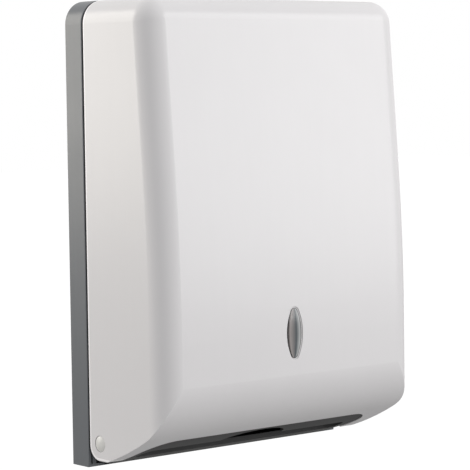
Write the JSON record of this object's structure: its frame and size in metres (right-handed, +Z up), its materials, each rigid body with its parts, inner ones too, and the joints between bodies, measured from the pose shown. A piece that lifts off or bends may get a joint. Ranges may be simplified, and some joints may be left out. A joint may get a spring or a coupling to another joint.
{
  "type": "folded paper towel dispenser",
  "caption": "Wall-mounted folded paper towel dispenser with a hinged, key-locked cover, a sight window and a slot with a finger scoop.",
  "frame": {"origin": "middle of the back tray's flat wall face", "axes": "+Z up, +Y into the wall, -Y out of the cover's front, +X to the right for someone who faces the dispenser"},
  "size_m": [0.2824, 0.128, 0.392],
  "materials": {
    "cover_white": "satin moulded ABS",
    "tray_grey": "fine matt moulded ABS",
    "pin_white": "moulded acetal",
    "nylon_natural": "natural nylon",
    "lens_smoke": "polished smoke clear",
    "steel_zinc": "bright zinc plate",
    "lock_chrome": "polished chrome plate"
  },
  "bodies": {
    "wall_unit": {"back_tray": "tray_grey", "throat_plate": "tray_grey", "throat_screws": "steel_zinc", "towel_guide_left": "tray_grey", "towel_guide_right": "tray_grey", "guide_screws": "steel_zinc", "lock_catch": "steel_zinc", "catch_screws": "steel_zinc", "hinge_washer_left": "nylon_natural", "hinge_washer_right": "nylon_natural"},
    "cover": {"front_cover": "cover_white", "window_lens": "lens_smoke", "window_frame": "tray_grey", "window_screws": "steel_zinc", "hinge_pin_left": "pin_white", "hinge_pin_right": "pin_white", "hinge_clip_left": "steel_zinc", "hinge_clip_right": "steel_zinc", "lock_housing": "lock_chrome", "lock_washer": "steel_zinc", "lock_nut": "steel_zinc"},
    "lock_rotor": {"lock_plug": "lock_chrome", "lock_cam": "steel_zinc", "lock_cam_screw": "steel_zinc"}
  },
  "joints": [
    {"name": "cover_hinge", "type": "hinge", "parent": "wall_unit", "child": "cover", "pos_m": [0, -0.0392, -0.1742], "axis": [1, 0, 0], "range_deg": [0, 85]},
    {"name": "lock_turn", "type": "hinge", "parent": "cover", "child": "lock_rotor", "pos_m": [0, -0.046, 0.1858], "axis": [0, 0, -1], "range_deg": [0, 90]}
  ]
}
